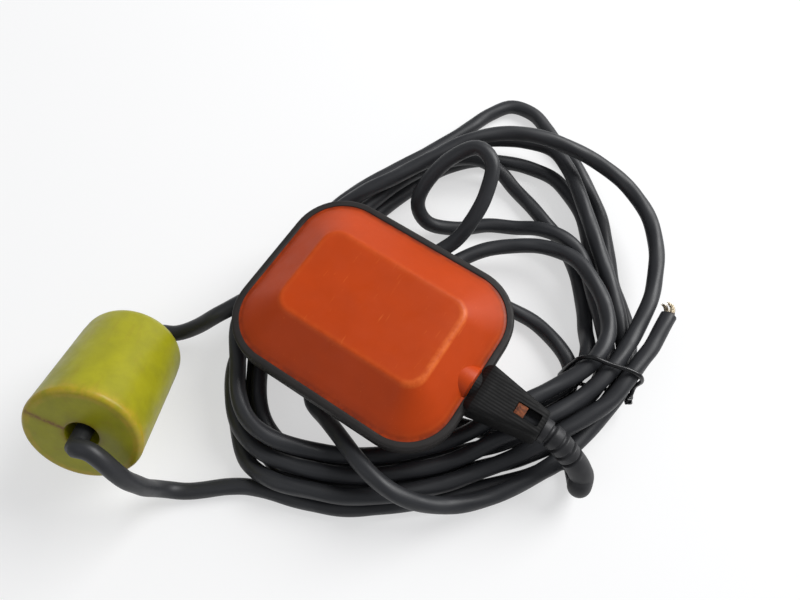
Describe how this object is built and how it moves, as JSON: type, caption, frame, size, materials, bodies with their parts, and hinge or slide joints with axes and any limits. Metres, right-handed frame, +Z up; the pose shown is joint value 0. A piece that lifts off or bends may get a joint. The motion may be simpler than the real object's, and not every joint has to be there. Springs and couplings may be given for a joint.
{
  "type": "cable float switch",
  "caption": "Tilting cable float switch with a black rim band and neck, a sliding counterweight and a tied bundle of round cable.",
  "frame": {"origin": "on the floor, under the middle of the box round the float, neck, bend relief and counterweight", "axes": "+Z up, the shortest way of that box; +X along the float from its blind end to its neck, the longest way of that box; +Y across the float, away from the counterweight"},
  "size_m": [0.2001, 0.2566, 0.0599],
  "materials": {
    "float_plastic": "satin moulded polypropylene, orange",
    "band_rubber": "matt thermoplastic rubber",
    "neck_plastic": "matt moulded plastic, black",
    "rusted_steel": "steel with brown surface rust",
    "grommet_rubber": "soft rubber",
    "cable_sheath": "smooth black cable sheath with a low sheen",
    "foam": "closed-cell foam",
    "capsule_plastic": "natural polypropylene",
    "steel": "bright steel",
    "brass": "brass strip",
    "switch_black": "phenolic moulding",
    "switch_red": "phenolic cover",
    "core_brown": "core insulation",
    "core_blue": "core insulation",
    "core_black": "core insulation",
    "copper": "stranded copper",
    "weight_plastic": "satin moulded plastic, yellow-green",
    "ballast_iron": "raw casting"
  },
  "bodies": {
    "cable": {"cable_lead": "cable_sheath", "cable_rear": "cable_sheath", "cable_coil": "cable_sheath", "cable_end": "cable_sheath", "end_cores": "core_brown", "core_copper": "copper", "twist_tie": "core_black", "bend_relief": "cable_sheath"},
    "float": {"upper_shell": "float_plastic", "lower_shell": "float_plastic", "rim_band": "band_rubber", "neck_housing": "neck_plastic", "retaining_clip": "rusted_steel", "neck_grommet": "grommet_rubber", "seal_sleeve": "grommet_rubber", "inner_cable": "cable_sheath", "foam_blocks": "foam", "capsule_base": "capsule_plastic", "capsule_gasket": "grommet_rubber", "capsule_cover": "capsule_plastic", "capsule_screws": "steel", "lever_pin": "steel", "switch_body": "switch_black", "switch_cover": "switch_red", "common_terminal": "brass", "open_terminal": "brass", "closed_terminal": "brass", "terminal_lugs": "steel", "wire_brown": "core_brown", "wire_blue": "core_blue", "wire_black": "core_black"},
    "ball": {"steel_ball": "steel"},
    "lever": {"lever": "brass"},
    "plunger": {"plunger": "switch_red"},
    "blade": {"contact_blade": "brass"},
    "grip": {"cable_grip": "capsule_plastic", "grip_ring": "steel"},
    "weight": {"weight_jacket": "weight_plastic", "weight_ballast": "ballast_iron", "weight_cap": "weight_plastic"}
  },
  "joints": [
    {"name": "relief_flex", "type": "hinge", "parent": "cable", "child": "float", "pos_m": [0.08368, 0.03175, 0.0256], "axis": [0, 1, 0], "range_deg": [0, 60], "deforming": ["bend_relief"]},
    {"name": "ball_roll", "type": "slide", "parent": "float", "child": "ball", "axis": [1, 0, 0], "range_m": [0, 0.003]},
    {"name": "lever_rock", "type": "hinge", "parent": "float", "child": "lever", "pos_m": [-0.00882, 0.03495, 0.0374], "axis": [0, -1, 0], "range_deg": [0, 16]},
    {"name": "plunger_press", "type": "slide", "parent": "float", "child": "plunger", "axis": [1, 0, 0], "range_m": [0, 0.0014]},
    {"name": "blade_snap", "type": "hinge", "parent": "float", "child": "blade", "pos_m": [-0.00142, 0.03495, 0.0282], "axis": [0, 1, 0], "range_deg": [0, 18.7]},
    {"name": "grip_slide", "type": "slide", "parent": "cable", "child": "grip", "axis": [0.4209, -0.7319, 0.5358], "range_m": [0, 0.0012]},
    {"name": "weight_turn", "type": "hinge", "parent": "grip", "child": "weight", "pos_m": [-0.07392, -0.04062, 0.02725], "axis": [0.4209, -0.7319, 0.5358], "continuous": true}
  ],
  "couplings": [
    {"joint": "lever_rock", "follows": "ball_roll", "rad_per_m": 90.909},
    {"joint": "plunger_press", "follows": "ball_roll", "ratio": 0.45454},
    {"joint": "blade_snap", "follows": "ball_roll", "rad_per_m": 108.22}
  ]
}
